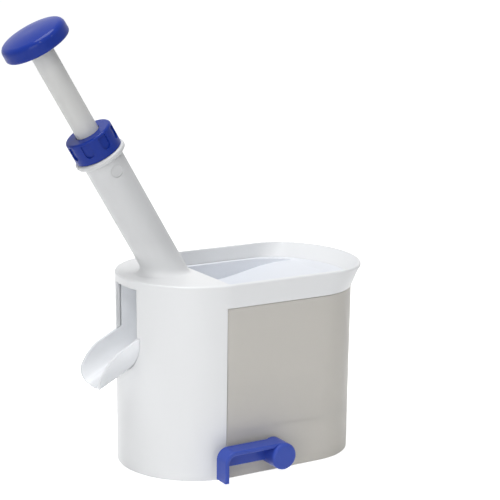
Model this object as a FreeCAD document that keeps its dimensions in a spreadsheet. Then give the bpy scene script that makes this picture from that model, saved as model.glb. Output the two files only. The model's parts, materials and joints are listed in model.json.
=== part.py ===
# Cherry pitter: a tilted spring plunger, a fruit hopper, a pit container and a suction foot
# worked by a lever. Millimetres, +Z up, origin at the middle of the footprint on the table.
import FreeCAD, Part
import math
import os
import Sketcher

V = FreeCAD.Vector
X_AXIS = V(1, 0, 0)
Y_AXIS = V(0, 1, 0)
Z_AXIS = V(0, 0, 1)

doc = FreeCAD.newDocument("cherry_pitter")
sheet = doc.addObject("Spreadsheet::Sheet", "sizes")

driving_sizes = {
    # body plan: half-round left end, straight sides, three-arc nose at the right
    "body_width": 86.0,
    "body_length": 135.4,
    "nose_radius": 60.0,
    "corner_radius": 34.0,
    "deck_height": 108.0,
    "band_height": 12.8,
    "draft_angle": 0.38,
    "wall": 2.2,
    "deck_thickness": 2.4,
    "deck_length": 41.6,
    "front_length": 39.3,
    "foot_gap": 0.3,
    # pouring lip of the hopper's rim
    "lip_reach": 7.9,
    "lip_nose_radius": 52.6,
    "lip_corner_radius": 30.0,
    "rim_round": 1.0,
    "rim_inner_round": 0.6,
    # window, chute cradle, partition and screw columns inside the housing
    "window_width": 24.4,
    "window_drop": 4.7,
    "cradle_reach": 27.2,
    "cradle_height": 30.0,
    "partition_thickness": 2.0,
    "partition_drop": 44.0,
    "partition_setback": 1.1,
    "column_radius": 6.2,
    "column_top": 52.0,
    "column_inset": 7.8,
    "column_spread": 30.0,
    "column_second": 72.0,
    "ledge_width": 1.6,
    "ledge_thickness": 1.4,
    "ledge_rise": 1.0,
    # guide tube: lengths run along its axis from the deck's top plane
    "plunger_tilt": 30.4,
    "tube_set_in": 25.9,
    "tube_diameter": 22.2,
    "tube_bore": 17.0,
    "tube_length": 76.3,
    "tube_blend": 3.5,
    "foot_bore": 12.0,
    "foot_bore_top": 4.0,
    "flange_diameter": 28.4,
    "flange_thickness": 3.1,
    "flange_round": 1.3,
    "neck_diameter": 19.6,
    "neck_length": 8.6,
    "mark_diameter": 6.6,
    "mark_depth": 0.6,
    "mark_drop": 7.0,
    # collar nut and bush
    "collar_diameter": 26.2,
    "collar_height": 12.5,
    "collar_gap": 0.3,
    "collar_plate": 1.5,
    "collar_round": 1.3,
    "collar_hole_gap": 0.4,
    "flute_count": 8,
    "flute_width": 4.8,
    "flute_depth": 0.9,
    "flute_stop": 3.4,
    "flute_drop": 1.5,
    "flute_turn": 6.0,
    "bush_flange": 2.2,
    "bush_depth": 14.0,
    "running_gap": 0.07,
    # plunger
    "rod_diameter": 12.8,
    "head_length": 6.0,
    "head_gap": 0.3,
    "rod_top": 150.8,
    "cap_height": 144.5,
    "cap_diameter": 36.2,
    "cap_rim_height": 6.4,
    "cap_top_diameter": 35.8,
    "cap_shoulder": 1.2,
    "cap_crown": 2.4,
    "cap_flat_diameter": 18.0,
    "cap_dome_radius": 46.0,
    "cap_round": 3.4,
    "cap_rim_round": 1.6,
    "cap_hub_diameter": 18.0,
    "cap_rim_wall": 2.4,
    "cap_recess": 4.2,
    "punch_tip": -3.0,
    "punch_shank": 4.6,
    "punch_socket": 12.0,
    "blade_width": 6.6,
    "blade_thickness": 1.3,
    "blade_length": 17.0,
    "pin_diameter": 2.0,
    # spring and stripper
    "sleeve_flange": 2.0,
    "sleeve_length": 9.0,
    "sleeve_hole": 7.4,
    "washer_thickness": 1.0,
    "washer_hole": 8.4,
    "seat_gap": 0.3,
    "wire_diameter": 1.0,
    "spring_diameter": 13.6,
    "spring_turns": 12,
    # seat, seal and tray
    "seat_depth": 30.2,
    "seat_diameter": 21.0,
    "seat_height": 6.8,
    "cup_diameter": 18.6,
    "cup_hole": 12.4,
    "cup_depth": 4.5,
    "seal_thickness": 1.8,
    "seal_hole": 7.2,
    "socket_wall": 1.8,
    "socket_lip": 1.8,
    "socket_hole": 14.0,
    "socket_gap": 0.3,
    "tray_wall": 1.8,
    "tray_inset": 4.2,
    "tray_drop": 8.5,
    "tray_rim": 1.4,
    "floor_drop": 22.8,
    "floor_sweep": 281.0,
    "floor_start": -27.0,
    "tray_start": -26.3,
    "channel_width": 24.8,
    "channel_start": -36.0,
    "channel_drop": 34.0,
    "channel_gap": 4.0,
    "ramp_end": -4.0,
    "ramp_slope": 45.0,
    # chute
    "chute_width": 28.0,
    "chute_wall": 2.0,
    "chute_slope": 28.0,
    "chute_drop": 51.0,
    "chute_start": -38.3,
    "chute_side": 2.3,
    "chute_gap": 0.3,
    "guide_setback": 4.4,
    "guide_drop": 0.6,
    "rim_run": 9.0,
    "rim_height": 14.0,
    "rim_bend_run": 15.3,
    "rim_bend_height": 8.3,
    "rim_end_run": 18.9,
    "rim_end_height": 3.0,
    "tip_reach": 20.6,
    "tip_drop": 3.0,
    "tip_foot_run": 17.3,
    "tip_foot_drop": 9.4,
    # pit container
    "container_wall": 1.8,
    "container_gap": 0.3,
    "container_foot": 0.5,
    "container_back_drop": 45.0,
    # base, shaft and suction foot
    "base_height": 24.0,
    "base_gap": 0.6,
    "base_wall": 2.4,
    "base_top": 2.2,
    "boss_radius": 4.6,
    "boss_bottom": 12.0,
    "screw_seat": 18.0,
    "screw_diameter": 3.2,
    "screw_head": 6.4,
    "screw_head_height": 2.4,
    "screw_length": 18.0,
    "screw_gap": 0.05,
    "shaft_x": -1.0,
    "shaft_z": 12.9,
    "shaft_diameter": 9.8,
    "shaft_tail": 4.6,
    "cam_diameter": 7.2,
    "cam_throw": 1.2,
    "cam_length": 12.0,
    "shaft_end": 38.0,
    "bearing_length": 10.0,
    "bearing_wall": 3.0,
    "ring_thickness": 1.2,
    "ring_width": 2.6,
    "groove_depth": 0.8,
    "slot_gap": 0.4,
    "stem_width": 15.0,
    "stem_depth": 12.0,
    "stem_top": 20.6,
    "stem_bottom": 4.9,
    "stem_foot": 2.0,
    "stem_foot_diameter": 18.0,
    "guide_wall": 2.2,
    "guide_gap": 0.3,
    "guide_bottom": 8.0,
    "pad_diameter": 68.0,
    "pad_lip": 1.2,
    "pad_top": 4.6,
    "pad_crown": 20.0,
    "hold_ring_diameter": 62.0,
    "hold_ring_wall": 2.0,
    "hold_ring_bottom": 4.2,
    # lever
    "lever_start": 4.0,
    "lever_width": 10.0,
    "lever_reach": 35.7,
    "lever_plate": 2.4,
    "lever_drop": 9.9,
    "lever_bend": 6.4,
    "lever_inner_bend": 4.0,
    "web_drop": 3.1,
    "lever_boss": 14.8,
    "boss_start": 2.2,
    "boss_end": 16.2,
    "boss_round": 1.8,
    "lever_round": 0.8,
    "shaft_socket": 10.0,
}
for row, (alias, value) in enumerate(driving_sizes.items(), 1):
    sheet.set(f"A{row}", alias)
    sheet.set(f"B{row}", str(value))
    sheet.setAlias(f"B{row}", alias)
doc.recompute()


class Sizes:
    """Reads the sheet: size.wall is the number in the cell called wall."""

    def __getattr__(self, alias):
        return float(getattr(sheet, alias))


size = Sizes()
nodes = []

# Places worked out from the driving sizes
left_end = -size.body_length / 2
left_centre = left_end + size.body_width / 2
column_circle = size.body_width / 2 - size.column_inset
deck_edge = left_end + size.deck_length
front_end = left_end + size.front_length
band_bottom = size.deck_height - size.band_height
tray_top = size.deck_height - size.tray_drop
tray_floor = size.deck_height - size.floor_drop
tilt = math.radians(size.plunger_tilt)
growth = math.tan(math.radians(size.draft_angle))
tube_base = V(left_end + size.tube_set_in, 0, size.deck_height)
tube_rotation = FreeCAD.Rotation(Y_AXIS, -size.plunger_tilt)
tube_placement = FreeCAD.Placement(tube_base, tube_rotation)
MARGIN = 5.0
REACH = 200.0
# Two places closer than this are the same; an arc's middle may lie this far off the plan
SAME = 0.01
OFF_PLAN = 0.3


def publish(item, label, placement=None):
    """Names a finished sub-part and puts it in its place."""
    item.Label = label
    if placement is not None:
        item.Placement = placement
    nodes.append(item)
    return item


def feature(label, shape, placement=None):
    """A sub-part whose shape comes from the helpers below."""
    item = doc.addObject("Part::Feature", label)
    item.Shape = shape
    return publish(item, label, placement)


def box(low, high):
    low = V(*low)
    span = V(*high) - low
    return Part.makeBox(span.x, span.y, span.z, low)


def rod(radius, start, end, axis=Z_AXIS):
    """Cylinder from one distance to another along an axis through the origin."""
    return Part.makeCylinder(radius, end - start, axis * start, axis)


def moved(shape, offset):
    copy = shape.copy()
    copy.translate(offset)
    return copy


def tilted(shape):
    """Moves a shape from the tube's own axis to its place on the body."""
    copy = shape.copy()
    copy.Placement = tube_placement
    return copy


def lies_at(low, high, place):
    """True when a span from low to high shrinks to that one place."""
    return abs(low - place) < SAME and abs(high - place) < SAME


def plan_wire(height, half, start, tip, corner, nose):
    """Closed outline: half circle, side, corner arc, nose arc, corner arc, side."""
    nose_x = tip - nose
    corner_y = half - corner
    corner_x = nose_x + math.sqrt((nose - corner) ** 2 - corner_y ** 2)
    round_x = start + half
    angle = math.atan2(corner_y, corner_x - nose_x)
    half_angle = (angle + math.pi / 2) / 2

    def at(centre_x, centre_y, radius, turn):
        return V(centre_x + radius * math.cos(turn), centre_y + radius * math.sin(turn), height)

    top_left = V(round_x, half, height)
    top_right = V(corner_x, half, height)
    join = at(nose_x, 0, nose, angle)
    join_low = V(join.x, -join.y, height)
    low_right = V(corner_x, -half, height)
    low_left = V(round_x, -half, height)
    upper_mid = at(corner_x, corner_y, corner, half_angle)
    lower_mid = V(upper_mid.x, -upper_mid.y, height)
    edges = [
        Part.Arc(top_left, V(start, 0, height), low_left).toShape(),
        Part.LineSegment(low_left, low_right).toShape(),
        Part.Arc(low_right, lower_mid, join_low).toShape(),
        Part.Arc(join_low, V(tip, 0, height), join).toShape(),
        Part.Arc(join, upper_mid, top_right).toShape(),
        Part.LineSegment(top_right, top_left).toShape(),
    ]
    return Part.Wire(edges)


def body_plan(height, inset=0.0):
    grow = height * growth - inset
    half = size.body_width / 2 + grow
    tip = size.body_length / 2 + grow
    return plan_wire(height, half, left_end - grow, tip, size.corner_radius + grow, size.nose_radius + grow)


def rim_plan(inset=0.0):
    grow = size.deck_height * growth - inset
    half = size.body_width / 2 + grow
    tip = size.body_length / 2 + size.lip_reach + grow
    corner = size.lip_corner_radius - inset
    return plan_wire(size.deck_height, half, left_end - grow, tip, corner, size.lip_nose_radius - inset)


def body_block(low, high, inset=0.0):
    return Part.makeLoft([body_plan(low, inset), body_plan(high, inset)], True, True)


def band_block(inset=0.0):
    return Part.makeLoft([body_plan(band_bottom, inset), rim_plan(inset)], True, True)


def slab(low, high):
    return box((-REACH, -REACH, low), (REACH, REACH, high))


def turned(label, corners, placement=None):
    """A body turned about its own Z axis. Corners are pairs of expressions: radius, height."""
    body = doc.addObject("PartDesign::Body", label)
    plane = [item for item in body.Origin.OriginFeatures if item.Role == "XZ_Plane"][0]
    sketch = body.newObject("Sketcher::SketchObject", label + "_outline")
    sketch.AttachmentSupport = [(plane, "")]
    sketch.MapMode = "FlatFace"
    polygon(sketch, corners)
    solid = body.newObject("PartDesign::Revolution", label + "_turning")
    solid.Profile = sketch
    solid.ReferenceAxis = (sketch, ["V_Axis"])
    solid.Angle = 360
    publish(body, label, placement)
    doc.recompute()
    return body


def polygon(sketch, corners):
    """A closed polygon with each corner tied to the origin by two expressions."""
    count = len(corners)
    angles = [2 * math.pi * i / count for i in range(count)]
    start = [V(size.wall * math.cos(angle), size.wall * math.sin(angle), 0) for angle in angles]
    for i in range(count):
        sketch.addGeometry(Part.LineSegment(start[i], start[(i + 1) % count]))
    for i in range(count):
        sketch.addConstraint(Sketcher.Constraint("Coincident", i, 2, (i + 1) % count, 1))
    for i, (across, along) in enumerate(corners):
        tie(sketch, i, 1, start[i], across, along)


def tie(sketch, line, end, point, across, along):
    """Ties one point of a sketch line to the origin by two expressions."""
    for kind, expression, value in (("DistanceX", across, point.x), ("DistanceY", along, point.y)):
        index = sketch.addConstraint(Sketcher.Constraint(kind, -1, 1, line, end, value))
        sketch.setExpression(f"Constraints[{index}]", expression)


def ring_edges(body, radius, height):
    """Names of a turned body's circular edges of that radius at that height on its own axis."""
    shape = body.Shape.transformed(body.Placement.inverse().toMatrix())
    names = []
    for number, edge in enumerate(shape.Edges, 1):
        if not isinstance(edge.Curve, Part.Circle):
            continue
        same_radius = abs(edge.Curve.Radius - radius) < SAME
        same_height = abs(edge.Curve.Center.z - height) < SAME
        if same_radius and same_height:
            names.append(f"Edge{number}")
    return names


def rounded(body, names, expression):
    """Rounds edges of a body's last feature."""
    fillet = body.newObject("PartDesign::Fillet", body.Name + "_round")
    fillet.Base = (fillet.BaseFeature, names)
    fillet.setExpression("Radius", expression)
    doc.recompute()
    return fillet


# Housing: one white moulding. Its lower wall covers only the left end, the band runs all round.
def column_places():
    places = []
    for turn in (180 - size.column_spread, 180 - size.column_second):
        for side in (1, -1):
            angle = math.radians(side * turn)
            x = left_centre + column_circle * math.cos(angle)
            y = column_circle * math.sin(angle)
            places.append(V(x, y, 0))
    return places


def chute_block(radius, side):
    """U-shaped bar along the chute's slope: a half-round bottom and straight sides of that height."""
    slope = math.radians(size.chute_slope)
    half_width = size.chute_width / 2
    centre_z = size.deck_height - size.chute_drop + half_width / math.cos(slope)
    half_reach = REACH / 2
    bottom = rod(radius, -half_reach, half_reach, X_AXIS)
    bottom = bottom.common(box((-half_reach, -radius, -radius), (half_reach, radius, 0)))
    sides = box((-half_reach, -radius, 0), (half_reach, radius, side))
    bar = bottom.fuse(sides)
    bar.Placement = FreeCAD.Placement(V(left_end, 0, centre_z), FreeCAD.Rotation(Y_AXIS, -size.chute_slope))
    return bar


def tube_shapes():
    """Outside and inside of the guide tube on its own axis."""
    tube_end = size.tube_length
    flange_end = tube_end + size.flange_thickness
    neck_end = flange_end + size.neck_length
    outer = rod(size.tube_diameter / 2, -REACH / 4, tube_end + MARGIN / 5)
    flange = rod(size.flange_diameter / 2, tube_end, flange_end)
    flange_circles = [edge for edge in flange.Edges if isinstance(edge.Curve, Part.Circle)]
    flange = flange.makeFillet(size.flange_round, flange_circles)
    neck = rod(size.neck_diameter / 2, tube_end, neck_end)
    bore = rod(size.tube_bore / 2, size.foot_bore_top, neck_end + MARGIN)
    foot = rod(size.foot_bore / 2, -REACH / 4, neck_end)
    mark_bottom = size.tube_diameter / 2 - size.mark_depth
    mark = rod(size.mark_diameter / 2, -size.tube_diameter, -mark_bottom, Y_AXIS)
    mark = moved(mark, Z_AXIS * (tube_end - size.mark_drop))
    return outer.fuse([flange, neck]), bore.fuse([foot, mark])


def housing_shape():
    lower = body_block(size.foot_gap, band_bottom)
    lower = lower.common(box((-REACH, -REACH, -MARGIN), (front_end, REACH, REACH)))
    band = band_block()
    hollow = body_block(-MARGIN, band_bottom, size.wall).fuse(band_block(size.wall))
    top = size.deck_height
    deck = band.common(box((-REACH, -REACH, top - size.deck_thickness), (deck_edge, REACH, top)))
    ledge_low = band_bottom + size.ledge_rise
    ledge = band.common(slab(ledge_low, ledge_low + size.ledge_thickness))
    ledge = ledge.cut(body_block(band_bottom, top, size.wall + size.ledge_width))
    ledge = ledge.common(box((deck_edge, -REACH, 0), (REACH, REACH, REACH)))
    partition_end = front_end - size.partition_setback
    cradle_start = left_end + size.cradle_reach
    cradle_low = top - size.chute_drop
    cradle = box((cradle_start, -REACH, cradle_low),
                 (cradle_start + size.partition_thickness, REACH, cradle_low + size.cradle_height))
    plates = [
        box((partition_end - size.partition_thickness, -REACH, size.base_height + size.foot_gap),
            (partition_end, REACH, top - size.partition_drop)),
        cradle.cut(chute_block(size.chute_width / 2 + size.chute_gap, REACH)),
    ]
    for place in column_places():
        column = Part.makeCylinder(size.column_radius, size.column_top - size.base_height - size.foot_gap,
                                   place + V(0, 0, size.base_height + size.foot_gap))
        hole = Part.makeCylinder(size.screw_diameter / 2 + size.screw_gap,
                                 size.screw_length, place + V(0, 0, size.screw_seat + size.screw_gap))
        plates.append(column.cut(hole))
    plates = [plate.common(lower) for plate in plates]
    outer, inner = tube_shapes()
    above = slab(top - size.deck_thickness, REACH * 2)
    tube = tilted(outer).common(above)
    skin = lower.fuse(band).cut(hollow)
    solid = skin.fuse([deck, ledge, tube] + plates)
    solid = solid.cut(tilted(inner))
    window = box((-REACH, -size.window_width / 2, top - size.chute_drop + size.chute_width / 2),
                 (left_end + MARGIN * 4, size.window_width / 2, top - size.window_drop))
    passage = chute_block(size.chute_width / 2 + size.chute_gap, size.chute_side + size.chute_gap)
    passage = passage.common(box((-REACH, -REACH, 0), (partition_end - MARGIN, REACH, REACH)))
    solid = solid.cut([window, passage])
    return solid.removeSplitter()


def rim_edges(shape, inset):
    """Edges in the deck's top plane that follow the rim's plan at that inset, or the deck's end."""
    plan = rim_plan(inset)
    edges = []
    for edge in shape.Edges:
        bounds = edge.BoundBox
        if not lies_at(bounds.ZMin, bounds.ZMax, size.deck_height):
            continue
        middle = Part.Vertex(edge.valueAt((edge.FirstParameter + edge.LastParameter) / 2))
        at_end = inset > 0 and lies_at(bounds.XMin, bounds.XMax, deck_edge)
        if plan.distToShape(middle)[0] < OFF_PLAN or at_end:
            edges.append(edge)
    return edges


def blended(shape):
    """Rounds the joint between the guide tube and the deck, then the rim's outer and inner edges."""
    edges = []
    for edge in shape.Edges:
        bounds = edge.BoundBox
        flat = lies_at(bounds.ZMin, bounds.ZMax, size.deck_height)
        near = abs(bounds.YMax) < size.tube_diameter and abs(bounds.YMin) < size.tube_diameter
        if flat and near and not isinstance(edge.Curve, (Part.Line, Part.Circle)):
            edges.append(edge)
    shape = shape.makeFillet(size.tube_blend, edges)
    shape = shape.makeFillet(size.rim_round, rim_edges(shape, 0))
    return shape.makeFillet(size.rim_inner_round, rim_edges(shape, size.wall))


feature("housing", blended(housing_shape()))


# Chute: a white trough, open at the top and at its cut-back tip.
def chute_shape():
    """Trough under the seat, with tall guide walls between the seat and the window."""
    bottom_wall = size.deck_height - size.chute_drop
    radius = size.chute_width / 2
    channel = chute_block(radius - size.chute_wall, REACH)
    trough = chute_block(radius, size.chute_side).cut(channel)
    guide_start = left_end + size.guide_setback
    guide_top = size.deck_height - size.deck_thickness - size.guide_drop
    guides = chute_block(radius, REACH).cut(channel)
    guides = guides.common(box((guide_start, -radius, bottom_wall), (size.chute_start, radius, guide_top)))
    rim_start = V(left_end - size.rim_run, 0, bottom_wall + size.rim_height)
    rim_middle = V(left_end - size.rim_bend_run, 0, bottom_wall + size.rim_bend_height)
    rim_end = V(left_end - size.rim_end_run, 0, bottom_wall + size.rim_end_height)
    tip = V(left_end - size.tip_reach, 0, bottom_wall - size.tip_drop)
    low = V(left_end - size.tip_foot_run, 0, bottom_wall - size.tip_foot_drop)
    above = V(0, 0, size.deck_height)
    edges = [
        Part.LineSegment(V(size.chute_start, 0, 0), V(size.chute_start, 0, above.z)).toShape(),
        Part.LineSegment(V(size.chute_start, 0, above.z), V(rim_start.x, 0, above.z)).toShape(),
        Part.LineSegment(V(rim_start.x, 0, above.z), rim_start).toShape(),
        Part.Arc(rim_start, rim_middle, rim_end).toShape(),
        Part.Arc(rim_end, tip, low).toShape(),
        Part.LineSegment(low, V(low.x, 0, 0)).toShape(),
        Part.LineSegment(V(low.x, 0, 0), V(size.chute_start, 0, 0)).toShape(),
    ]
    side = Part.Face(Part.Wire(edges)).extrude(V(0, REACH, 0))
    side.translate(V(0, -REACH / 2, 0))
    return trough.common(side).fuse(guides).removeSplitter()


feature("chute", chute_shape())


# Hopper tray: dished floor, ramps in the two left corners, channel walls and the seat's socket.
def ramp_block(side, shift):
    """Block behind the corner ramp on one side, moved out by shift across its face."""
    start = V(size.tray_start + size.tray_wall, side * size.channel_width / 2, tray_floor + size.tray_wall)
    end_y = size.body_width / 2 - size.tray_inset - size.tray_wall
    along = V(size.ramp_end, side * end_y, start.z) - start
    along.normalize()
    level = V(along.y * side, -along.x * side, 0)
    lean = math.radians(size.ramp_slope)
    normal = level * math.sin(lean) + Z_AXIS * math.cos(lean)
    across = normal.cross(along)
    block = box((-REACH / 2, -REACH / 2, -REACH / 2), (REACH / 2, REACH / 2, 0))
    turn = FreeCAD.Rotation(along, across, normal, "ZXY")
    block.Placement = FreeCAD.Placement(start - normal * shift, turn)
    return block


def tray_block(inset, start):
    """Upright block within the plan and right of the tray's left wall."""
    block = body_block(tray_floor - MARGIN, tray_top, inset)
    return block.common(box((start, -REACH, 0), (REACH, REACH, REACH)))


def floor_sweep(thickness):
    """Round bar whose underside is the dished floor, raised by that thickness."""
    centre = V(size.floor_start, -REACH / 2, tray_floor + size.floor_sweep)
    return Part.makeCylinder(size.floor_sweep - thickness, REACH, centre, Y_AXIS)


def tray_shape():
    inside = tray_block(size.tray_inset + size.tray_wall, size.tray_start + size.tray_wall)
    cavity = inside.common(floor_sweep(size.tray_wall))
    cavity = cavity.cut([ramp_block(side, 0) for side in (1, -1)])
    shell = tray_block(size.tray_inset, size.tray_start).common(floor_sweep(0))
    shell = shell.cut([inside.common(ramp_block(side, size.tray_wall)) for side in (1, -1)])
    rim = band_block(size.wall + size.seat_gap).common(slab(tray_top - size.tray_rim, tray_top))
    rim = rim.common(box((size.tray_start, -REACH, 0), (REACH, REACH, REACH)))
    half = size.channel_width / 2
    channel_low = size.deck_height - size.channel_drop
    channel_high = size.deck_height - size.channel_gap
    walls = [
        box((size.channel_start, side * half if side > 0 else -half - size.tray_wall, channel_low),
            (size.tray_start + size.tray_wall,
             half + size.tray_wall if side > 0 else -half, channel_high))
        for side in (1, -1)
    ]
    bottom = -size.seat_depth - size.seat_height - 2 * size.seat_gap - size.seal_thickness
    bore = size.seat_diameter / 2 + size.socket_gap
    socket = rod(bore + size.socket_wall, bottom - size.socket_lip, -size.seat_depth)
    opening = rod(bore, bottom, 0).fuse(rod(size.socket_hole / 2, bottom - MARGIN, 0))
    channel = box((-size.chute_width, -half, -size.seat_depth), (size.chute_width, half, -MARGIN))
    solid = shell.fuse([rim, tilted(socket)] + walls)
    return solid.cut([cavity, tilted(opening), tilted(channel)]).removeSplitter()


feature("hopper_tray", tray_shape())


# Cherry seat and the rubber ring under it
turned("cherry_seat", [
    ("sizes.cup_diameter / 2", "-sizes.seat_depth"),
    ("sizes.seat_diameter / 2", "-sizes.seat_depth"),
    ("sizes.seat_diameter / 2", "-sizes.seat_depth - sizes.seat_height"),
    ("sizes.cup_hole / 2", "-sizes.seat_depth - sizes.seat_height"),
    ("sizes.cup_hole / 2", "-sizes.seat_depth - sizes.cup_depth"),
], tube_placement)
turned("seat_seal", [
    ("sizes.seal_hole / 2", "-sizes.seat_depth - sizes.seat_height - sizes.seat_gap"),
    ("sizes.seat_diameter / 2", "-sizes.seat_depth - sizes.seat_height - sizes.seat_gap"),
    ("sizes.seat_diameter / 2",
     "-sizes.seat_depth - sizes.seat_height - sizes.seat_gap - sizes.seal_thickness"),
    ("sizes.seal_hole / 2",
     "-sizes.seat_depth - sizes.seat_height - sizes.seat_gap - sizes.seal_thickness"),
], tube_placement)


# Collar nut: a blue cap nut on the neck, with U-shaped flutes sunk in its side
collar_low = "sizes.tube_length + sizes.flange_thickness + sizes.collar_gap"
collar_high = collar_low + " + sizes.collar_height"
collar_turned = FreeCAD.Placement(V(0, 0, 0), FreeCAD.Rotation(Z_AXIS, size.flute_turn))
collar = turned("collar_nut", [
    ("sizes.rod_diameter / 2 + sizes.collar_hole_gap", collar_high),
    ("sizes.collar_diameter / 2", collar_high),
    ("sizes.collar_diameter / 2", collar_low),
    ("sizes.neck_diameter / 2 + sizes.collar_gap", collar_low),
    ("sizes.neck_diameter / 2 + sizes.collar_gap", collar_high + " - sizes.collar_plate"),
    ("sizes.rod_diameter / 2 + sizes.collar_hole_gap", collar_high + " - sizes.collar_plate"),
], tube_placement.multiply(collar_turned))
collar_top = size.tube_length + size.flange_thickness + size.collar_gap + size.collar_height
rounded(collar, ring_edges(collar, size.collar_diameter / 2, collar_top), "sizes.collar_round")
flute_plane = [item for item in collar.Origin.OriginFeatures if item.Role == "XZ_Plane"][0]
flute_sketch = collar.newObject("Sketcher::SketchObject", "flute_outline")
flute_sketch.AttachmentSupport = [(flute_plane, "")]
flute_sketch.MapMode = "FlatFace"
flute_sketch.setExpression("AttachmentOffset.Base.z", "sizes.collar_diameter / 2 - sizes.flute_depth")
flute_half = size.flute_width / 2
flute_low = collar_top - size.collar_height + size.flute_stop + flute_half
flute_high = collar_top - size.flute_drop
flute_corners = [V(-flute_half, flute_high, 0), V(-flute_half, flute_low, 0),
                 V(flute_half, flute_low, 0), V(flute_half, flute_high, 0)]
flute_sketch.addGeometry(Part.LineSegment(flute_corners[0], flute_corners[1]))
flute_sketch.addGeometry(Part.ArcOfCircle(
    Part.Circle(V(0, flute_low, 0), Z_AXIS, flute_half), math.pi, 2 * math.pi))
flute_sketch.addGeometry(Part.LineSegment(flute_corners[2], flute_corners[3]))
flute_sketch.addGeometry(Part.LineSegment(flute_corners[3], flute_corners[0]))
for first, second in ((0, 1), (1, 2), (2, 3), (3, 0)):
    flute_sketch.addConstraint(Sketcher.Constraint("Coincident", first, 2, second, 1))
flute_low_text = collar_low + " + sizes.flute_stop + sizes.flute_width / 2"
flute_high_text = collar_high + " - sizes.flute_drop"
flute_left = "-sizes.flute_width / 2"
flute_right = "sizes.flute_width / 2"
tie(flute_sketch, 0, 1, flute_corners[0], flute_left, flute_high_text)
tie(flute_sketch, 0, 2, flute_corners[1], flute_left, flute_low_text)
tie(flute_sketch, 2, 1, flute_corners[2], flute_right, flute_low_text)
tie(flute_sketch, 3, 1, flute_corners[3], flute_right, flute_high_text)
centre_height = flute_sketch.addConstraint(Sketcher.Constraint("DistanceY", -1, 1, 1, 3, flute_low))
flute_sketch.setExpression(f"Constraints[{centre_height}]", flute_low_text)
flute = collar.newObject("PartDesign::Pocket", "flute")
flute.Profile = flute_sketch
flute.setExpression("Length", "sizes.flute_depth * 2")
flute.Reversed = True
flutes = collar.newObject("PartDesign::PolarPattern", "flutes")
flutes.Originals = [flute]
flutes.Axis = ([item for item in collar.Origin.OriginFeatures if item.Role == "Z_Axis"][0], [""])
flutes.Angle = 360
flutes.setExpression("Occurrences", "sizes.flute_count")
collar.Tip = flutes
doc.recompute()

# Rod bush: hangs in the bore from its flange, which the nut clamps on the neck
neck_high = "sizes.tube_length + sizes.flange_thickness + sizes.neck_length"
turned("rod_bush", [
    ("sizes.rod_diameter / 2 + sizes.running_gap", neck_high + " + sizes.seat_gap + sizes.bush_flange"),
    ("sizes.neck_diameter / 2", neck_high + " + sizes.seat_gap + sizes.bush_flange"),
    ("sizes.neck_diameter / 2", neck_high + " + sizes.seat_gap"),
    ("sizes.tube_bore / 2 - sizes.running_gap", neck_high + " + sizes.seat_gap"),
    ("sizes.tube_bore / 2 - sizes.running_gap", neck_high + " - sizes.bush_depth"),
    ("sizes.rod_diameter / 2 + sizes.running_gap", neck_high + " - sizes.bush_depth"),
], tube_placement)

# Plunger rod: the head under the bush is its upper stop and holds the punch
head_high = neck_high + " - sizes.bush_depth - sizes.seat_gap"
head_low = head_high + " - sizes.head_length"
plunger_rod = turned("plunger_rod", [
    ("0", "sizes.rod_top"),
    ("sizes.rod_diameter / 2", "sizes.rod_top"),
    ("sizes.rod_diameter / 2", head_high),
    ("sizes.tube_bore / 2 - sizes.head_gap", head_high),
    ("sizes.tube_bore / 2 - sizes.head_gap", head_low),
    ("sizes.punch_shank / 2 + sizes.screw_gap", head_low),
    ("sizes.punch_shank / 2 + sizes.screw_gap", head_low + " + sizes.punch_socket"),
    ("0", head_low + " + sizes.punch_socket"),
], tube_placement)


def cross_hole(body, height, diameter):
    """Round hole right through a turned body, along its Y axis."""
    plane = [item for item in body.Origin.OriginFeatures if item.Role == "XZ_Plane"][0]
    sketch = body.newObject("Sketcher::SketchObject", body.Name + "_hole")
    sketch.AttachmentSupport = [(plane, "")]
    sketch.MapMode = "FlatFace"
    sketch.addGeometry(Part.Circle(V(0, size.tube_length, 0), Z_AXIS, size.pin_diameter))
    sketch.addConstraint(Sketcher.Constraint("PointOnObject", 0, 3, -2))
    sketch.addConstraint(Sketcher.Constraint("DistanceY", -1, 1, 0, 3, size.tube_length))
    sketch.setExpression("Constraints[1]", height)
    sketch.addConstraint(Sketcher.Constraint("Diameter", 0, size.pin_diameter))
    sketch.setExpression("Constraints[2]", diameter)
    hole = body.newObject("PartDesign::Pocket", body.Name + "_pin_hole")
    hole.Profile = sketch
    hole.Type = 1
    hole.Midplane = True
    doc.recompute()
    return hole


pin_height = head_low + " + sizes.head_length / 2"
cross_hole(plunger_rod, pin_height, "sizes.pin_diameter + 2 * sizes.screw_gap")

# Push cap: a hollow blue knob with a hub round the rod
cap_shoulder = "sizes.cap_height + sizes.cap_rim_height + sizes.cap_shoulder"
push_cap = turned("push_cap", [
    ("0", cap_shoulder + " + sizes.cap_crown"),
    ("sizes.cap_flat_diameter / 2", cap_shoulder + " + sizes.cap_crown"),
    ("sizes.cap_top_diameter / 2", cap_shoulder),
    ("sizes.cap_diameter / 2", "sizes.cap_height"),
    ("sizes.cap_diameter / 2 - sizes.cap_rim_wall", "sizes.cap_height"),
    ("sizes.cap_diameter / 2 - sizes.cap_rim_wall", "sizes.cap_height + sizes.cap_recess"),
    ("sizes.cap_hub_diameter / 2", "sizes.cap_height + sizes.cap_recess"),
    ("sizes.cap_hub_diameter / 2", "sizes.cap_height"),
    ("sizes.rod_diameter / 2 + sizes.screw_gap", "sizes.cap_height"),
    ("sizes.rod_diameter / 2 + sizes.screw_gap", "sizes.rod_top + sizes.screw_gap"),
    ("0", "sizes.rod_top + sizes.screw_gap"),
], tube_placement)
shoulder_height = size.cap_height + size.cap_rim_height + size.cap_shoulder
crown_height = shoulder_height + size.cap_crown
rounded(push_cap, ring_edges(push_cap, size.cap_top_diameter / 2, shoulder_height), "sizes.cap_round")
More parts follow.
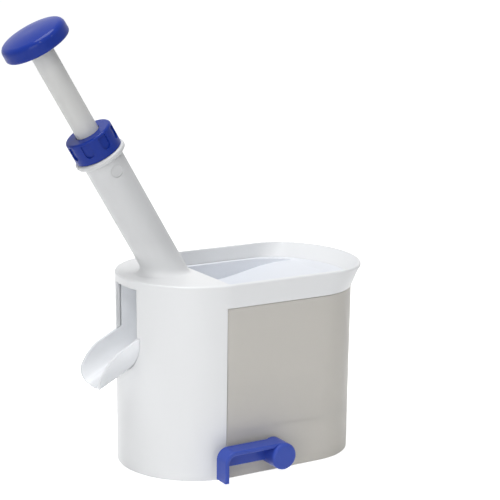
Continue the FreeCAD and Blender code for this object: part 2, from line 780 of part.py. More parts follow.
rounded(push_cap, ring_edges(push_cap, size.cap_flat_diameter / 2, crown_height), "sizes.cap_dome_radius")
rounded(push_cap, ring_edges(push_cap, size.cap_diameter / 2, size.cap_height), "sizes.cap_rim_round")


# Punch: a steel shank with a cross blade, pinned in the rod's head
def punch_shape():
    head_bottom = (size.tube_length + size.flange_thickness + size.neck_length - size.bush_depth
                   - size.seat_gap - size.head_length)
    blade_top = size.punch_tip + size.blade_length
    shank_top = head_bottom + size.punch_socket - size.seat_gap
    shank = rod(size.punch_shank / 2, blade_top - size.blade_width / 2, shank_top)
    half = size.blade_width / 2
    thin = size.blade_thickness / 2
    blades = [
        box((-half, -thin, size.punch_tip), (half, thin, blade_top)),
        box((-thin, -half, size.punch_tip), (thin, half, blade_top)),
    ]
    hole = rod(size.pin_diameter / 2 + size.screw_gap, -half * 2, half * 2, Y_AXIS)
    hole = moved(hole, V(0, 0, head_bottom + size.head_length / 2))
    return shank.fuse(blades).cut(hole).removeSplitter()


feature("punch", punch_shape(), tube_placement)
pin = doc.addObject("Part::Cylinder", "punch_pin")
pin.setExpression("Radius", "sizes.pin_diameter / 2")
pin.setExpression("Height", "sizes.tube_bore - 4 * sizes.head_gap")
pin_z = (size.tube_length + size.flange_thickness + size.neck_length - size.bush_depth
         - size.seat_gap - size.head_length / 2)
pin_length = size.tube_bore - 4 * size.head_gap
pin_local = FreeCAD.Placement(V(0, -pin_length / 2, pin_z), FreeCAD.Rotation(Z_AXIS, Y_AXIS))
publish(pin, "punch_pin", tube_placement.multiply(pin_local))

# Stripper sleeve: stands on the step in the tube's foot and carries the spring
turned("stripper_sleeve", [
    ("sizes.sleeve_hole / 2", "sizes.foot_bore_top + sizes.seat_gap + sizes.sleeve_flange"),
    ("sizes.tube_bore / 2 - sizes.head_gap", "sizes.foot_bore_top + sizes.seat_gap + sizes.sleeve_flange"),
    ("sizes.tube_bore / 2 - sizes.head_gap", "sizes.foot_bore_top + sizes.seat_gap"),
    ("sizes.foot_bore / 2 - sizes.head_gap", "sizes.foot_bore_top + sizes.seat_gap"),
    ("sizes.foot_bore / 2 - sizes.head_gap", "sizes.foot_bore_top - sizes.sleeve_length"),
    ("sizes.sleeve_hole / 2", "sizes.foot_bore_top - sizes.sleeve_length"),
], tube_placement)
washer_low = "sizes.foot_bore_top + 2 * sizes.seat_gap + sizes.sleeve_flange"
turned("spring_washer", [
    ("sizes.washer_hole / 2", washer_low + " + sizes.washer_thickness"),
    ("sizes.tube_bore / 2 - sizes.head_gap", washer_low + " + sizes.washer_thickness"),
    ("sizes.tube_bore / 2 - sizes.head_gap", washer_low),
    ("sizes.washer_hole / 2", washer_low),
], tube_placement)


# Return spring: one wire wound round the punch
def arc_between(start, corner, end):
    """Arc that leaves start towards the corner and reaches end from it."""
    middle = (start + end) * 0.5
    half_chord = (end - start).Length / 2
    rise = corner - middle
    lean = math.atan2(rise.Length, half_chord)
    crest = middle + rise * (half_chord * math.tan(lean / 2) / rise.Length)
    return Part.Arc(start, crest, end).toShape()


def coil_wire(radius, low, height, turns):
    """Helix of tangent arcs, two to each half turn."""
    def at(turn):
        angle = 2 * math.pi * turn
        point = V(radius * math.cos(angle), radius * math.sin(angle), low + height * turn / turns)
        heading = V(-radius * math.sin(angle), radius * math.cos(angle), height / turns / (2 * math.pi))
        return point, heading.normalize()

    edges = []
    for step in range(int(2 * turns)):
        start, leave = at(step / 2)
        end, arrive = at((step + 1) / 2)
        chord = end - start
        total = leave + arrive
        spread = 2 * (1 - leave.dot(arrive))
        along = chord.dot(total)
        reach = (-along + math.sqrt(along ** 2 + spread * chord.dot(chord))) / spread
        first = start + leave * reach
        second = end - arrive * reach
        join = (first + second) * 0.5
        edges.append(arc_between(start, first, join))
        edges.append(arc_between(join, second, end))
    return Part.Wire(edges)


def spring_shape():
    low = (size.foot_bore_top + size.sleeve_flange + size.washer_thickness
           + 3 * size.seat_gap + size.wire_diameter / 2)
    high = (size.tube_length + size.flange_thickness + size.neck_length - size.bush_depth
            - 2 * size.seat_gap - size.head_length - size.wire_diameter / 2)
    radius = (size.spring_diameter - size.wire_diameter) / 2
    path = coil_wire(radius, low, high - low, size.spring_turns)
    start = path.Edges[0]
    heading = start.tangentAt(start.FirstParameter)
    section = Part.Wire([Part.makeCircle(size.wire_diameter / 2, V(radius, 0, low), heading)])
    gap = (high - low) / size.spring_turns - size.wire_diameter
    print("least gap between the spring's turns, mm:", round(gap, 3))
    shell = Part.BRepOffsetAPI.MakePipeShell(path)
    shell.add(section)
    shell.build()
    shell.makeSolid()
    return shell.shape()


feature("return_spring", spring_shape(), tube_placement)


# Pit container: clear, closed at the right, with a skirt that slides over the base
def container_shape():
    start = front_end + size.container_gap
    top = band_bottom - size.container_gap
    floor_low = size.base_height + size.container_gap
    floor_high = floor_low + size.container_wall
    outer = body_block(size.container_foot, top).common(box((start, -REACH, 0), (REACH, REACH, REACH)))
    inner = body_block(floor_high, top + MARGIN, size.container_wall)
    inner_start = start + size.container_wall
    room = inner.common(box((inner_start, -REACH, 0), (REACH, REACH, REACH)))
    back_top = size.deck_height - size.container_back_drop
    low_back = inner.common(box((start - MARGIN, -REACH, back_top), (inner_start + MARGIN, REACH, REACH)))
    skirt = body_block(-MARGIN, floor_low, size.container_wall)
    slot_radius = size.shaft_diameter / 2 + size.slot_gap
    centre = V(size.shaft_x, 0, size.shaft_z)
    slot = Part.makeCylinder(slot_radius, REACH, centre - Y_AXIS * REACH, Y_AXIS)
    run = box((start - MARGIN, -REACH, size.shaft_z - slot_radius),
              (size.shaft_x, 0, size.shaft_z + slot_radius))
    return outer.cut([room, low_back, skirt, slot, run]).removeSplitter()


feature("pit_container", container_shape())


# Base plate: a ribbed platform inside the housing and the container's skirt
def base_shape():
    inset = size.wall + size.base_gap
    outer = body_block(0, size.base_height, inset)
    under = size.base_height - size.base_top
    hollow = body_block(-MARGIN, under, inset + size.base_wall)
    shell = outer.cut(hollow)
    centre = V(size.shaft_x, 0, 0)
    ring_outer = size.hold_ring_diameter / 2
    ring_inner = ring_outer - size.hold_ring_wall
    ring = Part.makeCylinder(ring_outer, under - size.hold_ring_bottom + size.base_top / 2,
                             centre + Z_AXIS * size.hold_ring_bottom)
    ring = ring.cut(Part.makeCylinder(ring_inner, size.base_height, centre))
    guide_x = size.stem_width / 2 + size.guide_gap
    guide_y = size.stem_depth / 2 + size.guide_gap
    guide = box((size.shaft_x - guide_x - size.guide_wall, -guide_y - size.guide_wall, size.guide_bottom),
                (size.shaft_x + guide_x + size.guide_wall, guide_y + size.guide_wall,
                 under + size.base_top / 2))
    guide = guide.cut(box((size.shaft_x - guide_x, -guide_y, 0),
                          (size.shaft_x + guide_x, guide_y, under)))
    wall_y = size.body_width / 2 - inset
    front_radius = size.shaft_diameter / 2 + size.running_gap
    rear_radius = size.shaft_tail / 2 + size.running_gap
    axle = V(size.shaft_x, 0, size.shaft_z)
    front = Part.makeCylinder(front_radius + size.bearing_wall, size.bearing_length,
                              axle - Y_AXIS * wall_y, Y_AXIS)
    rear = Part.makeCylinder(rear_radius + size.bearing_wall, size.bearing_length,
                             axle + Y_AXIS * (wall_y - size.bearing_length), Y_AXIS)
    clear_radius = size.shaft_diameter / 2 + size.slot_gap
    middle = wall_y - size.bearing_length
    clear = Part.makeCylinder(clear_radius, middle + guide_y, axle - Y_AXIS * middle, Y_AXIS)
    ring_room = clear_radius + size.ring_width
    room = Part.makeCylinder(ring_room, size.ring_thickness * 2, axle - Y_AXIS * middle, Y_AXIS)
    tail = Part.makeCylinder(rear_radius, size.shaft_end + size.seat_gap, axle, Y_AXIS)
    mouth = Part.makeCylinder(front_radius, wall_y, axle - Y_AXIS * (wall_y + MARGIN), Y_AXIS)
    solid = shell.fuse([ring, guide, front, rear])
    cuts = [clear, room, tail, mouth]
    for place in column_places():
        boss = Part.makeCylinder(size.boss_radius, under + size.base_top / 2 - size.boss_bottom,
                                 place + Z_AXIS * size.boss_bottom)
        solid = solid.fuse(boss)
        shank = size.screw_diameter / 2 + size.screw_gap
        head = size.screw_head / 2 + size.seat_gap
        cuts.append(Part.makeCylinder(shank, REACH, place))
        cuts.append(Part.makeCylinder(head, size.screw_seat, place))
    return solid.cut(cuts).removeSplitter()


feature("base_plate", base_shape())


def screws_shape():
    """Four self-tapping screws, driven up from below into the housing's columns."""
    head = size.screw_head / 2
    shank = size.screw_diameter / 2
    seat = size.screw_seat - size.screw_gap
    head_low = seat - size.screw_head_height
    thread_length = size.screw_length - size.screw_head_height
    screws = []
    for place in column_places():
        cap = Part.makeCylinder(head, size.screw_head_height, place + Z_AXIS * head_low)
        shaft = Part.makeCylinder(shank, thread_length, place + Z_AXIS * seat)
        recess = box((-head / 2, -head / 8, 0), (head / 2, head / 8, size.screw_head_height / 2))
        recess = moved(recess, place + Z_AXIS * head_low)
        screws.append(cap.fuse(shaft).cut(recess))
    return Part.makeCompound(screws)


feature("base_screws", screws_shape())


# Cam shaft: front journal, eccentric and thin tail, with a groove for its ring
def shaft_shape():
    axle = V(size.shaft_x, 0, size.shaft_z)
    front_y = -size.body_width / 2 - size.boss_start - size.shaft_socket + size.seat_gap
    journal = Part.makeCylinder(size.shaft_diameter / 2, -size.cam_length / 2 - front_y,
                                axle + Y_AXIS * front_y, Y_AXIS)
    cam = Part.makeCylinder(size.cam_diameter / 2, size.cam_length,
                            axle + Z_AXIS * size.cam_throw - Y_AXIS * size.cam_length / 2, Y_AXIS)
    tail = Part.makeCylinder(size.shaft_tail / 2, size.shaft_end, axle, Y_AXIS)
    groove_y = -(size.body_width / 2 - size.wall - size.base_gap - size.bearing_length - size.seat_gap)
    groove = Part.makeCylinder(size.shaft_diameter, size.ring_thickness, axle + Y_AXIS * groove_y, Y_AXIS)
    groove = groove.cut(Part.makeCylinder(size.shaft_diameter / 2 - size.groove_depth, REACH,
                                          axle - Y_AXIS * REACH / 2, Y_AXIS))
    return journal.fuse([cam, tail]).cut(groove).removeSplitter()


feature("cam_shaft", shaft_shape())


def ring_shape():
    """Open retaining ring in the shaft's groove, behind the front bearing."""
    gap = size.screw_gap
    inner = size.shaft_diameter / 2 - size.groove_depth + gap
    outer = size.shaft_diameter / 2 + size.ring_width - size.groove_depth
    groove_y = -(size.body_width / 2 - size.wall - size.base_gap - size.bearing_length - size.seat_gap)
    axle = V(size.shaft_x, groove_y + gap, size.shaft_z)
    thickness = size.ring_thickness - 2 * gap
    ring = Part.makeCylinder(outer, thickness, axle, Y_AXIS)
    ring = ring.cut(Part.makeCylinder(inner, thickness, axle, Y_AXIS))
    opening = box((size.shaft_x - inner / 2, -REACH, 0), (size.shaft_x + inner / 2, 0, size.shaft_z))
    return ring.cut(opening)


feature("retaining_ring", ring_shape())


# Pad stem: a slotted block that the eccentric lifts, with a foot on the pad
def stem_shape():
    x = size.shaft_x
    half_x = size.stem_width / 2
    half_y = size.stem_depth / 2
    block = box((x - half_x, -half_y, size.stem_bottom), (x + half_x, half_y, size.stem_top))
    foot = Part.makeCylinder(size.stem_foot_diameter / 2, size.stem_foot, V(x, 0, size.stem_bottom))
    centre_z = size.shaft_z + size.cam_throw
    radius = size.cam_diameter / 2 + size.slot_gap
    slot = box((x - size.cam_throw, -size.stem_depth, centre_z - radius),
               (x + size.cam_throw, size.stem_depth, centre_z + radius))
    for end_x in (x - size.cam_throw, x + size.cam_throw):
        end = Part.makeCylinder(radius, size.stem_depth * 2, V(end_x, -size.stem_depth, centre_z), Y_AXIS)
        slot = slot.fuse(end)
    return block.fuse(foot).cut(slot).removeSplitter()


feature("pad_stem", stem_shape())

# Suction pad: a rubber disc, thick under the stem and thin at its lip on the table
pad_placement = FreeCAD.Placement(V(size.shaft_x, 0, 0), FreeCAD.Rotation())
turned("suction_pad", [
    ("0", "sizes.pad_top"),
    ("sizes.pad_crown / 2", "sizes.pad_top"),
    ("sizes.hold_ring_diameter / 2 - sizes.hold_ring_wall", "sizes.hold_ring_bottom - sizes.seat_gap"),
    ("sizes.pad_diameter / 2", "sizes.pad_lip"),
    ("sizes.pad_diameter / 2", "0"),
    ("0", "0"),
], pad_placement)


# Lever: an angled plate with a rear web and a round boss on the shaft
lever_body = doc.addObject("PartDesign::Body", "lever")


def lever_sketch(name, start, corners=None, circle=None):
    """Outline that distance in front of the body's middle: a polygon, or a circle round the shaft."""
    plane = [item for item in lever_body.Origin.OriginFeatures if item.Role == "XZ_Plane"][0]
    sketch = lever_body.newObject("Sketcher::SketchObject", name + "_outline")
    sketch.AttachmentSupport = [(plane, "")]
    sketch.MapMode = "FlatFace"
    sketch.setExpression("AttachmentOffset.Base.z", start)
    if corners is not None:
        polygon(sketch, corners)
    if circle is not None:
        sketch.addGeometry(Part.Circle(V(size.shaft_x, size.shaft_z, 0), Z_AXIS, size.lever_boss / 2))
        sketch.addConstraint(Sketcher.Constraint("DistanceX", -1, 1, 0, 3, size.shaft_x))
        sketch.setExpression("Constraints[0]", "sizes.shaft_x")
        sketch.addConstraint(Sketcher.Constraint("DistanceY", -1, 1, 0, 3, size.shaft_z))
        sketch.setExpression("Constraints[1]", "sizes.shaft_z")
        sketch.addConstraint(Sketcher.Constraint("Diameter", 0, size.lever_boss))
        sketch.setExpression("Constraints[2]", circle)
    return sketch


def add_pad(name, sketch, length):
    pad = lever_body.newObject("PartDesign::Pad", name)
    pad.Profile = sketch
    pad.setExpression("Length", length)
    doc.recompute()
    return pad


wall_face = "sizes.body_width / 2"
plate_top = "sizes.shaft_z + sizes.lever_boss / 2"
leg_x = "sizes.shaft_x - sizes.lever_reach"
angle_sketch = lever_sketch("angle_plate", wall_face + " + sizes.lever_start", [
    (leg_x, "sizes.shaft_z - sizes.lever_drop"),
    (leg_x, plate_top),
    ("sizes.shaft_x", plate_top),
    ("sizes.shaft_x", plate_top + " - sizes.lever_plate"),
    (leg_x + " + sizes.lever_plate", plate_top + " - sizes.lever_plate"),
    (leg_x + " + sizes.lever_plate", "sizes.shaft_z - sizes.lever_drop"),
])
add_pad("angle_plate", angle_sketch, "sizes.lever_width")


def bend_edges(shape, x, z):
    """Names of the edges along Y at that place in the plate's outline."""
    names = []
    for number, edge in enumerate(shape.Edges, 1):
        bounds = edge.BoundBox
        if lies_at(bounds.XMin, bounds.XMax, x) and lies_at(bounds.ZMin, bounds.ZMax, z):
            names.append(f"Edge{number}")
    return names


def face_edges(shape, y):
    """Names of the edges that lie in the plane at that y."""
    names = []
    for number, edge in enumerate(shape.Edges, 1):
        bounds = edge.BoundBox
        if lies_at(bounds.YMin, bounds.YMax, y):
            names.append(f"Edge{number}")
    return names


outer_x = size.shaft_x - size.lever_reach
top_z = size.shaft_z + size.lever_boss / 2
rounded(lever_body, bend_edges(lever_body.Shape, outer_x, top_z), "sizes.lever_bend")
inner_bend = bend_edges(lever_body.Shape, outer_x + size.lever_plate, top_z - size.lever_plate)
rounded(lever_body, inner_bend, "sizes.lever_inner_bend")
plate_front = -size.body_width / 2 - size.lever_start - size.lever_width
rounded(lever_body, face_edges(lever_body.Shape, plate_front), "sizes.lever_round")
web_sketch = lever_sketch("web", wall_face + " + sizes.lever_start", [
    (leg_x + " + sizes.lever_plate / 2", "sizes.shaft_z - sizes.web_drop"),
    (leg_x + " + sizes.lever_plate / 2", plate_top + " - sizes.lever_bend"),
    (leg_x + " + sizes.lever_bend", plate_top + " - sizes.lever_plate / 2"),
    ("sizes.shaft_x", plate_top + " - sizes.lever_plate / 2"),
    ("sizes.shaft_x", "sizes.shaft_z - sizes.web_drop"),
])
add_pad("web", web_sketch, "sizes.lever_plate")
boss_sketch = lever_sketch("boss", wall_face + " + sizes.boss_start", circle="sizes.lever_boss")
add_pad("boss", boss_sketch, "sizes.boss_end - sizes.boss_start")
rounded(lever_body, face_edges(lever_body.Shape, -size.body_width / 2 - size.boss_end), "sizes.boss_round")
socket_sketch = lever_sketch("socket", wall_face + " + sizes.boss_start",
                             circle="sizes.shaft_diameter + 2 * sizes.screw_gap")
socket = lever_body.newObject("PartDesign::Pocket", "shaft_socket")
socket.Profile = socket_sketch
socket.setExpression("Length", "sizes.shaft_socket")
socket.Reversed = True
publish(lever_body, "lever")
doc.recompute()

# Every object has to be sound before anything is written
problems = []
for item in doc.Objects:
    if "Invalid" in item.State or "Error" in item.State:
        problems.append(f"{item.Name}: {item.State}")
for item in nodes:
    shape = item.Shape
    if shape.isNull() or not shape.isValid() or not shape.Solids:
        problems.append(f"{item.Label}: no sound solid")
if problems:
    raise RuntimeError("; ".join(problems))

os.makedirs("parts", exist_ok=True)
for item in nodes:
    item.Shape.exportStep(f"parts/{item.Label}.step")
    print(item.Label, len(item.Shape.Solids), round(item.Shape.Volume, 1))
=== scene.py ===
import json
import math

import bmesh
import bpy
from mathutils import Matrix, Vector


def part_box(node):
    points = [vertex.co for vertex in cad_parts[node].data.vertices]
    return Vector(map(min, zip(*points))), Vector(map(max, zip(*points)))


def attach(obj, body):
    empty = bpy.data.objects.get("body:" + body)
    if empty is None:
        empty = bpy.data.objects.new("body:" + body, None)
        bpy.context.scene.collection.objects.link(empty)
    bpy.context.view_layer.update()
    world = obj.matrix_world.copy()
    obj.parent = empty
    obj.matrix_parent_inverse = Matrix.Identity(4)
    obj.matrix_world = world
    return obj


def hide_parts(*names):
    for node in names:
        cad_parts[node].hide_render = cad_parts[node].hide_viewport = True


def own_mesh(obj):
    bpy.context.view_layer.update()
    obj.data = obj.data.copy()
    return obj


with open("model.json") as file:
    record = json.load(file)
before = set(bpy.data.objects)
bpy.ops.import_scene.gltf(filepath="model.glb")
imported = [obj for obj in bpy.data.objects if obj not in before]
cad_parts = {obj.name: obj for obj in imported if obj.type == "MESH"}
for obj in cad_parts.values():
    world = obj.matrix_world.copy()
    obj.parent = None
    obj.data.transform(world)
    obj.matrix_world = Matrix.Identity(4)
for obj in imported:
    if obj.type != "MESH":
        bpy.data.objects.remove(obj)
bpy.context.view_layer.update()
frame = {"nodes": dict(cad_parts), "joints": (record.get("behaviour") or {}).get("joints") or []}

MM = 0.001
nodes = frame["nodes"]
joints = {joint["name"]: joint for joint in frame["joints"]}

# Camera: the photograph's view, from the front left and a little above, level to within a
# degree. Angles are in degrees, and the focal length is in pixels of the picture.
CAMERA_TURN = -31.13
CAMERA_RISE = 12.27
CAMERA_ROLL = 0.62
CAMERA_PLACE = Vector((-429.8, -729.9, 300.2)) * MM
FOCAL_PIXELS = 1554.09
PICTURE_PIXELS = 500
SENSOR_WIDTH = 36.0

turn, rise, roll = (math.radians(angle) for angle in (CAMERA_TURN, CAMERA_RISE, CAMERA_ROLL))
back = Vector((math.sin(turn) * math.cos(rise), -math.cos(turn) * math.cos(rise), math.sin(rise)))
level = Vector((math.cos(turn), math.sin(turn), 0))
upright = back.cross(level)
right = level * math.cos(roll) + upright * math.sin(roll)
up = upright * math.cos(roll) - level * math.sin(roll)
camera_data = bpy.data.cameras.new("camera")
camera_data.sensor_width = SENSOR_WIDTH
camera_data.lens = FOCAL_PIXELS / PICTURE_PIXELS * SENSOR_WIDTH
camera = bpy.data.objects.new("camera", camera_data)
camera.matrix_world = Matrix((right, up, back)).transposed().to_4x4()
camera.location = CAMERA_PLACE
bpy.context.scene.collection.objects.link(camera)
bpy.context.scene.camera = camera
bpy.context.scene.view_settings.view_transform = "Standard"


# Studio: a table covered in white paper, far wider than the view, under soft lamps. The paper
# is plain white where the camera or a reflection sees it, apart from the object's own shadow.
PAPER_REACH = 30.0
PAPER_GLOW = 0.8
AIR_GLOW = 0.26
LAMP_AIM = Vector((0, 0, 0.1))
LAMPS = [  # name, place and width in metres, power in watts
    ("overhead_soft", (-0.3, 0.0, 1.25), 0.8, 11),
    ("left_soft", (-1.0, -1.1, 0.35), 0.8, 4.6),
    ("left_window", (-0.75, -1.25, 1.15), 0.28, 3.6),
    ("right_window", (0.55, -1.3, 1.3), 0.2, 1.3),
]


def linear(code):
    """Colour for Blender from an sRGB hex code such as E2E4E3."""
    parts = [int(code[i:i + 2], 16) / 255 for i in (0, 2, 4)]
    return [c / 12.92 if c <= 0.04045 else ((c + 0.055) / 1.055) ** 2.4 for c in parts] + [1.0]


def add_node(tree, kind, links=None, **settings):
    """Adds a shader node, sets its properties or sockets by name, and links sockets to outputs."""
    node = tree.nodes.new(kind)
    for name, value in settings.items():
        if hasattr(node, name):
            setattr(node, name, value)
        else:
            node.inputs[name.replace("_", " ")].default_value = value
    for name, output in (links or {}).items():
        tree.links.new(output, node.inputs[name])
    return node


def new_material(name):
    material = bpy.data.materials.new(name)
    material.use_nodes = True
    material.node_tree.nodes.clear()
    return material, material.node_tree


def add_object(name, data):
    item = bpy.data.objects.new(name, data)
    bpy.context.scene.collection.objects.link(item)
    return item


def seen_rays(tree):
    """1 for a ray from the camera, off a glossy surface or through a clear one."""
    rays = add_node(tree, "ShaderNodeLightPath").outputs
    indirect = add_node(tree, "ShaderNodeMath", {
        0: rays["Is Glossy Ray"], 1: rays["Is Transmission Ray"]}, operation="MAXIMUM")
    seen = add_node(tree, "ShaderNodeMath", {
        0: rays["Is Camera Ray"], 1: indirect.outputs[0]}, operation="MAXIMUM")
    return seen.outputs[0]


def studio_paper():
    material, tree = new_material("studio_white_paper")
    paper = add_node(tree, "ShaderNodeBsdfDiffuse", Color=linear("F8F8F8"))
    glow = add_node(tree, "ShaderNodeEmission", Color=linear("FFFFFF"), Strength=PAPER_GLOW)
    bright = add_node(tree, "ShaderNodeAddShader", {0: paper.outputs[0], 1: glow.outputs[0]})
    pick = add_node(tree, "ShaderNodeMixShader", {
        0: seen_rays(tree), 1: paper.outputs[0], 2: bright.outputs[0]})
    add_node(tree, "ShaderNodeOutputMaterial", {"Surface": pick.outputs[0]})
    return material


def lamp(name, place, width, power):
    data = bpy.data.lights.new(name, "AREA")
    data.shape = "DISK"
    data.size = width
    data.energy = power
    item = add_object(name, data)
    item.location = place
    item.rotation_euler = (LAMP_AIM - Vector(place)).to_track_quat("-Z", "Y").to_euler()


shape = bmesh.new()
bmesh.ops.create_grid(shape, x_segments=1, y_segments=1, size=PAPER_REACH)
table_mesh = bpy.data.meshes.new("studio_table")
shape.to_mesh(table_mesh)
shape.free()
table_mesh.materials.append(studio_paper())
add_object("studio_table", table_mesh)

for settings in LAMPS:
    lamp(*settings)

world = bpy.data.worlds.new("studio_air")
bpy.context.scene.world = world
world.use_nodes = True
air = world.node_tree
air.nodes.clear()
air_light = add_node(air, "ShaderNodeBackground", Color=linear("F8FAFC"), Strength=AIR_GLOW)
air_seen = add_node(air, "ShaderNodeBackground", Color=linear("FFFFFF"), Strength=1.0)
air_pick = add_node(air, "ShaderNodeMixShader", {
    0: seen_rays(air), 1: air_light.outputs[0], 2: air_seen.outputs[0]})
add_node(air, "ShaderNodeOutputWorld", {"Surface": air_pick.outputs[0]})


# Housing: one white ABS moulding with an end wall, deck, band, pouring lip and tilted guide
# tube, from a polished tool, with its edges broken. Painted shade darkens it with height from
# the deck up the tube, standing in for the tube's upper part being less lit.
EDGE_BREAK = 0.3 * MM
EDGE_SAMPLES = 6
CLOUD_SCALE = 22.0  # patches in a metre
CLOUD_DETAIL = 3.0
GLOSS_DRIFT = 0.08
GRAIN_SCALE = 1400.0  # grains in a metre
GRAIN_DETAIL = 2.0
GRAIN_DEPTH = 0.3 * MM
# Painted shade: from low to high the housing's colour darkens to that share, as the tube's top is
# less lit
TUBE_PAINTED_SHADE = (106 * MM, 128 * MM, 0.8)  # low, high, share


def moulded_plastic(name, colour, roughness, drift=0.03, grain=0.02, painted_light_by_height=None, **shader):
    """Moulded plastic: a slow drift in tone and gloss, a fine grain and softened edges.

    fade is (low, high, share): painted light and shade by height; from low to high the colour goes
    over to that share of itself.
    """
    material, tree = new_material(name)
    place = add_node(tree, "ShaderNodeTexCoord").outputs["Object"]
    cloud = add_node(tree, "ShaderNodeTexNoise", {"Vector": place},
                     Scale=CLOUD_SCALE, Detail=CLOUD_DETAIL)
    tone = add_node(tree, "ShaderNodeMapRange", {"Value": cloud.outputs["Fac"]},
                    To_Min=1 - drift, To_Max=1.0)
    tint = add_node(tree, "ShaderNodeVectorMath", {3: tone.outputs[0]}, operation="SCALE")
    tint.inputs[0].default_value = linear(colour)[:3]
    # Painted light and shade: the colour is scaled up or down with height
    if painted_light_by_height:
        low, high, share = painted_light_by_height
        height = add_node(tree, "ShaderNodeSeparateXYZ", {0: place}).outputs["Z"]
        part = add_node(tree, "ShaderNodeMapRange", {"Value": height},
                        From_Min=low, From_Max=high, To_Min=1.0, To_Max=share)
        tint = add_node(tree, "ShaderNodeVectorMath", {0: tint.outputs[0], 3: part.outputs[0]},
                        operation="SCALE")
    gloss = add_node(tree, "ShaderNodeMapRange", {"Value": cloud.outputs["Fac"]},
                     To_Min=roughness * (1 - GLOSS_DRIFT), To_Max=roughness * (1 + GLOSS_DRIFT))
    fine = add_node(tree, "ShaderNodeTexNoise", {"Vector": place},
                    Scale=GRAIN_SCALE, Detail=GRAIN_DETAIL)
    soft_edge = add_node(tree, "ShaderNodeBevel", samples=EDGE_SAMPLES, Radius=EDGE_BREAK)
    bump = add_node(tree, "ShaderNodeBump", {
        "Height": fine.outputs["Fac"], "Normal": soft_edge.outputs[0]},
        Strength=grain, Distance=GRAIN_DEPTH)
    surface = add_node(tree, "ShaderNodeBsdfPrincipled", {
        "Base Color": tint.outputs[0], "Roughness": gloss.outputs[0], "Normal": bump.outputs[0]},
        **shader)
    add_node(tree, "ShaderNodeOutputMaterial", {"Surface": surface.outputs[0]})
    return material


def dress(material, *names):
    """Gives CAD nodes their finish."""
    for name in names:
        for slot in nodes[name].material_slots:
            slot.material = material


white_abs = moulded_plastic("moulded_white_abs", "E6E7E8", 0.34, drift=0.015, painted_light_by_height=TUBE_PAINTED_SHADE)
dress(white_abs, "housing")

# Chute: a white ABS trough pushed in through the window and held by the cradle. Fruit slides
# out along it, so it is the most polished piece. Its upright guide walls are thin, and painted
# light makes them lighter with height, standing in for light coming through them and bouncing
# inside.
# Painted light: from low to high the chute's colour brightens to that share, on its guide walls
GUIDE_PAINTED_LIGHT = (60 * MM, 78 * MM, 1.2)  # low, high, share

chute_abs = moulded_plastic("polished_white_abs", "E4E6E9", 0.2, drift=0.015, painted_light_by_height=GUIDE_PAINTED_LIGHT,
                            Specular_IOR_Level=0.3)
dress(chute_abs, "chute")

# Hopper tray and cherry seat: white polypropylene mouldings, a little cooler and softer in
# gloss. The tray drops into the rim and carries the seat in its socket.
white_pp = moulded_plastic("moulded_white_polypropylene", "DFE2E8", 0.36, drift=0.02)
dress(white_pp, "hopper_tray", "cherry_seat")

# Push cap and collar nut: deep blue ABS from a polished tool. A clear skin of gloss over a
# softer body gives small sharp highlights and a broad pale sheen.
blue_abs = moulded_plastic("moulded_blue_abs", "12308E", 0.34, drift=0.02, grain=0.01,
                           Specular_IOR_Level=0.05, Coat_Weight=0.24, Coat_Roughness=0.05)
dress(blue_abs, "push_cap", "collar_nut")

# Plunger rod, bush, sleeve and pad stem: white acetal, turned or moulded smooth, waxy, low in
# friction and a shade greyer than the housing.
white_acetal = moulded_plastic("turned_white_acetal", "CCCCCA", 0.34, drift=0.015)
dress(white_acetal, "plunger_rod", "rod_bush", "stripper_sleeve", "pad_stem")

# Pit container: translucent polystyrene, frosted by its tool. It slides off to the right and
# shows what is behind it only as soft shapes.
frosted_ps = moulded_plastic("frosted_clear_polystyrene", "E2DFD9", 0.33, drift=0.015, IOR=1.2,
                             Transmission_Weight=0.34)
dress(frosted_ps, "pit_container")

# Lever: blue ABS from a plainer tool than the cap, so paler and softer. Its boss is pushed on
# the cam shaft, and its angled end is the finger grip.
lever_abs = moulded_plastic("moulded_pale_blue_abs", "374EAB", 0.33, drift=0.02, grain=0.015,
                            Specular_IOR_Level=0.08, Coat_Weight=0.24, Coat_Roughness=0.07)
dress(lever_abs, "lever")

# Base plate and cam shaft: light grey polypropylene, with a satin finish from a blasted tool.
# The base carries the shaft and is screwed to the housing from below.
grey_pp = moulded_plastic("moulded_grey_polypropylene", "CFCFCD", 0.45, grain=0.05)
dress(grey_pp, "base_plate", "cam_shaft")

# Seat seal: a moulded grey rubber ring, fitted under the seat. It closes round the punch and
# stretches to let the stone through.
soft_rubber = moulded_plastic("moulded_grey_rubber", "6F7173", 0.7, drift=0.08, grain=0.12)
dress(soft_rubber, "seat_seal")

# Suction pad: a moulded rubber disc with a hollow underside and grip rings on its upper cone.
# The stem holds its middle up to grip the table, and lets it down as the lever turns.
PAD_HOLLOW = 0.7 * MM
PAD_HOLLOW_BEND = (0.7, 0.6)  # as shares of the radius and of the hollow's depth
PAD_RIM = ((2.0, 0.1), (0.6, 0.0), (0.0, 0.4), (0.4, 1.2))  # mm inwards and up from the foot
PAD_LIP = PAD_RIM[-1][1] * MM
PAD_FLAT = 10 * MM
PAD_CONE = 0.85  # share of the pad's height above the lip that the cone climbs
PAD_RINGS = 4
PAD_FIRST_RING = 4.0 * MM
PAD_RING_STEP = 3.2 * MM
PAD_RING = ((0.9, -0.3), (0.5, 0.05), (0.0, 0.1), (-0.4, -0.2))  # mm outwards and up from the cone
TURNED_STEPS = 96
MERGE_DISTANCE = 0.001 * MM


def mesh_of(name, shape):
    """Closes a bmesh piece: doubles merged, faces outwards, smooth shading."""
    bmesh.ops.remove_doubles(shape, verts=shape.verts, dist=MERGE_DISTANCE)
    bmesh.ops.recalc_face_normals(shape, faces=shape.faces)
    mesh = bpy.data.meshes.new(name)
    shape.to_mesh(mesh)
    shape.free()
    mesh.polygons.foreach_set("use_smooth", [True] * len(mesh.polygons))
    return mesh


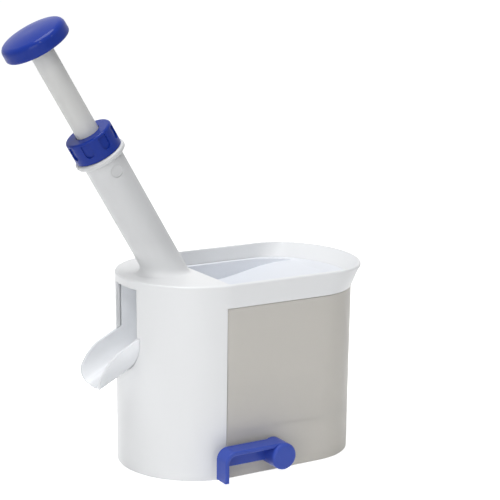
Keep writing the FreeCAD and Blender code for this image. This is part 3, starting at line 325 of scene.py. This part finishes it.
def turned(profile, centre):
    """A bmesh turned about the upright line through centre from (radius, height) pairs."""
    shape = bmesh.new()
    corners = [shape.verts.new(centre + Vector((radius, 0, height))) for radius, height in profile]
    edges = [shape.edges.new(pair) for pair in zip(corners, corners[1:])]
    bmesh.ops.spin(shape, geom=corners + edges, cent=centre, axis=(0, 0, 1), angle=2 * math.pi,
                   steps=TURNED_STEPS, use_merge=True)
    return shape


def pad_outline(radius, height):
    """The pad's half section as (radius, height) pairs: underside, rim, ringed cone, flat top."""
    bend_out, bend_up = PAD_HOLLOW_BEND
    outline = [(0, PAD_HOLLOW), (radius * bend_out, PAD_HOLLOW * bend_up)]
    outline += [(radius - inwards * MM, upwards * MM) for inwards, upwards in PAD_RIM]
    for ring in range(PAD_RINGS):
        inset = PAD_FIRST_RING + PAD_RING_STEP * ring
        climb = inset / (radius - PAD_FLAT) * (height - PAD_LIP) * PAD_CONE
        outline += [(radius - inset + outwards * MM, PAD_LIP + climb + upwards * MM)
                    for outwards, upwards in PAD_RING]
    return outline + [(PAD_FLAT, height), (0, height)]


pad_low, pad_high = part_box("suction_pad")
pad_centre = Vector(((pad_low[0] + pad_high[0]) / 2, (pad_low[1] + pad_high[1]) / 2, pad_low[2]))
pad_radius = (pad_high[0] - pad_low[0]) / 2
pad_height = pad_high[2] - pad_low[2]
pad_shape = turned(pad_outline(pad_radius, pad_height), pad_centre)
pad_piece = add_object("rubber_pad", mesh_of("rubber_pad", pad_shape))
pad_piece.data.materials.append(soft_rubber)
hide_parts("suction_pad")
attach(pad_piece, "body")
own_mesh(pad_piece)

# Return spring: drawn stainless wire wound in twelve turns round the punch, between the washer
# and the rod's head. It closes up towards the washer as the plunger goes down.
WIRE = 1.0 * MM
WIRE_SIDES = 12
SPRING_RADIUS = 6.3 * MM
SPRING_TURNS = 12
SPRING_STEPS = 32 * SPRING_TURNS
ACROSS = Vector((0, 1, 0))

tube_line = -Vector(joints["plunger_press"]["axis"]).normalized()
tube_side = tube_line.cross(ACROSS)
spring_verts = [vertex.co.copy() for vertex in nodes["return_spring"].data.vertices]
along = [point.dot(tube_line) for point in spring_verts]
spring_low, spring_high = min(along), max(along)
spring_middle = sum(spring_verts, Vector()) / len(spring_verts)
spring_foot = spring_middle + tube_line * (spring_low - spring_middle.dot(tube_line))
spring_foot.y = 0  # the tube lies in the plane of symmetry
wire_start = spring_foot + tube_side * SPRING_RADIUS + tube_line * WIRE / 2
shape = bmesh.new()
bmesh.ops.create_circle(shape, segments=WIRE_SIDES, radius=WIRE / 2, cap_ends=True)
stand = Matrix((tube_side, tube_line, ACROSS)).transposed().to_4x4()
bmesh.ops.transform(shape, matrix=stand, verts=shape.verts)
bmesh.ops.translate(shape, vec=wire_start, verts=shape.verts)
bmesh.ops.spin(shape, geom=shape.verts[:] + shape.edges[:] + shape.faces[:], cent=spring_foot,
               axis=tube_line, dvec=tube_line * (spring_high - spring_low - WIRE) / SPRING_STEPS,
               angle=2 * math.pi * SPRING_TURNS, steps=SPRING_STEPS)
spring_piece = add_object("wire_spring", mesh_of("wire_spring", shape))
steel = moulded_plastic("drawn_stainless_steel", "B9BCBE", 0.31, drift=0.06, grain=0.08,
                        Metallic=1.0)
spring_piece.data.materials.append(steel)
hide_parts("return_spring")
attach(spring_piece, "body")
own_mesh(spring_piece)

# Punch, pin, washer, screws and retaining ring: stainless steel, drawn, stamped or turned,
# with fine marks and a faint drift in gloss.
dress(steel, "punch", "punch_pin", "spring_washer", "base_screws", "retaining_ring")
